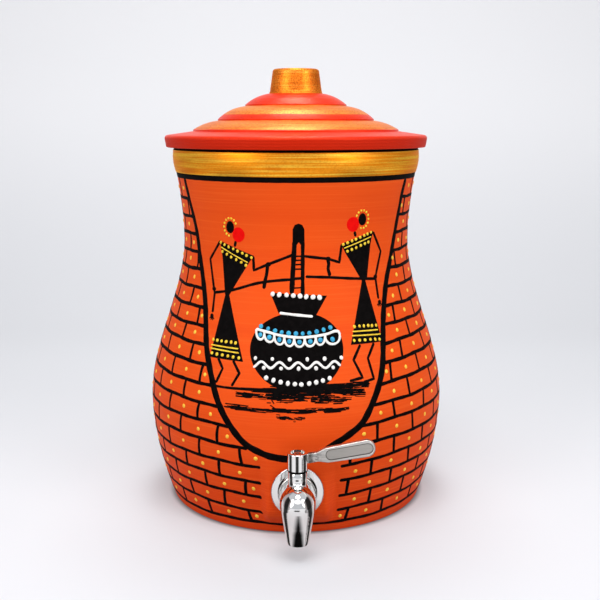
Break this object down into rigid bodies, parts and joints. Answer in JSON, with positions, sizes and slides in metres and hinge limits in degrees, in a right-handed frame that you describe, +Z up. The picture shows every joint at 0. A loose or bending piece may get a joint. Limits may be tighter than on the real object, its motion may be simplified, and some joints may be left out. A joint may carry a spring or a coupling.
{
  "type": "clay water pot with tap",
  "caption": "Waisted clay water pot with a stepped lid that lifts off and a steel plug tap with a side lever low on the front.",
  "frame": {"origin": "centre of the pot's foot, on the surface it stands on", "axes": "+Z up along the pot's axis; the tap faces -Y; the closed lever points along +X"},
  "size_m": [0.25, 0.2918, 0.3604],
  "materials": {
    "pot_clay": "fired clay painted matt orange with black line work and a gold rim",
    "lid_clay": "fired clay painted satin red with gold bands",
    "tap_steel": "mirror-polished stainless steel",
    "plate_steel": "matt stainless steel",
    "plain_steel": "turned stainless steel",
    "seal_rubber": "translucent white silicone",
    "black_rubber": "black rubber"
  },
  "bodies": {
    "pot": {"pot_body": "pot_clay", "tap_body": "tap_steel", "tap_flange": "tap_steel", "outer_seal": "seal_rubber", "inner_seal": "seal_rubber", "backing_washer": "plain_steel", "lock_nut": "plain_steel", "gland_ring": "plain_steel", "handle_seal": "black_rubber"},
    "lid": {"lid": "lid_clay"},
    "handle": {"tap_handle": "tap_steel", "lever_plate": "plate_steel", "handle_screw": "plain_steel", "valve_plug": "plain_steel", "plug_o_rings": "black_rubber"}
  },
  "joints": [
    {"name": "lid_lift", "type": "slide", "parent": "pot", "child": "lid", "axis": [0, 0, 1], "range_m": [0, 0.12]},
    {"name": "tap_handle_turn", "type": "hinge", "parent": "pot", "child": "handle", "pos_m": [0, -0.14188, 0.072], "axis": [0, 0, -1], "range_deg": [0, 90]}
  ]
}
